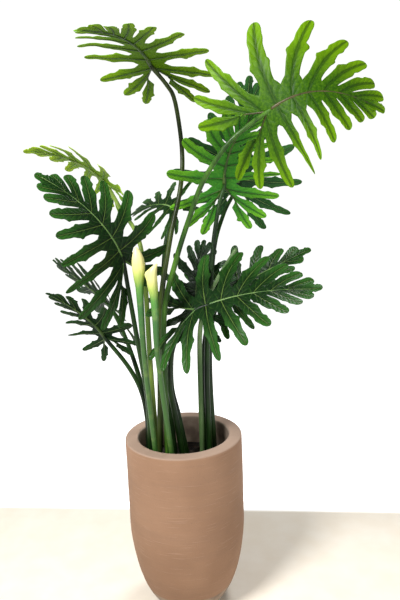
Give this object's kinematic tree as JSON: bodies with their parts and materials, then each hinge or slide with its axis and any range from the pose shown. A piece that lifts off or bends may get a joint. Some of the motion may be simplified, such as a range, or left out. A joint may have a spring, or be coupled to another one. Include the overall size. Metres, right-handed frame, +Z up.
{
  "type": "potted philodendron selloum",
  "caption": "Tall cut-leaved philodendron on long arching stalks with flower buds, standing in a round straight-sided clay pot.",
  "frame": {"origin": "middle of the pot's foot, on the floor", "axes": "+Z up along the pot's axis, +Y away from the viewer, +X to the viewer's right"},
  "size_m": [1.1354, 0.6715, 1.8781],
  "materials": {
    "clay": "matte unglazed brown clay, faint trowel marks",
    "soil": "dark crumbly potting soil with bark",
    "leaf_light": "satin light yellow-green leaf",
    "leaf_mid": "satin mid-green leaf, dull underside",
    "leaf_dark": "glossy dark green leaf with pale veins",
    "bud_cream": "satin cream bud running into a green stalk",
    "stem_green": "satin green stalk"
  },
  "bodies": {
    "root": {"pot": "clay", "soil": "soil", "leaf_top_left": "leaf_light", "leaf_top_right": "leaf_light", "leaf_upper_middle": "leaf_mid", "leaf_upper_back": "leaf_dark", "leaf_left": "leaf_dark", "leaf_left_back": "leaf_light", "leaf_right": "leaf_dark", "leaf_middle_small": "leaf_dark", "leaf_centre_back": "leaf_dark", "leaf_right_back": "leaf_dark", "leaf_low_left": "leaf_dark", "leaf_low_left_back": "leaf_dark", "bud_left": "bud_cream", "bud_right": "bud_cream", "young_leaf": "stem_green"}
  },
  "joints": []
}
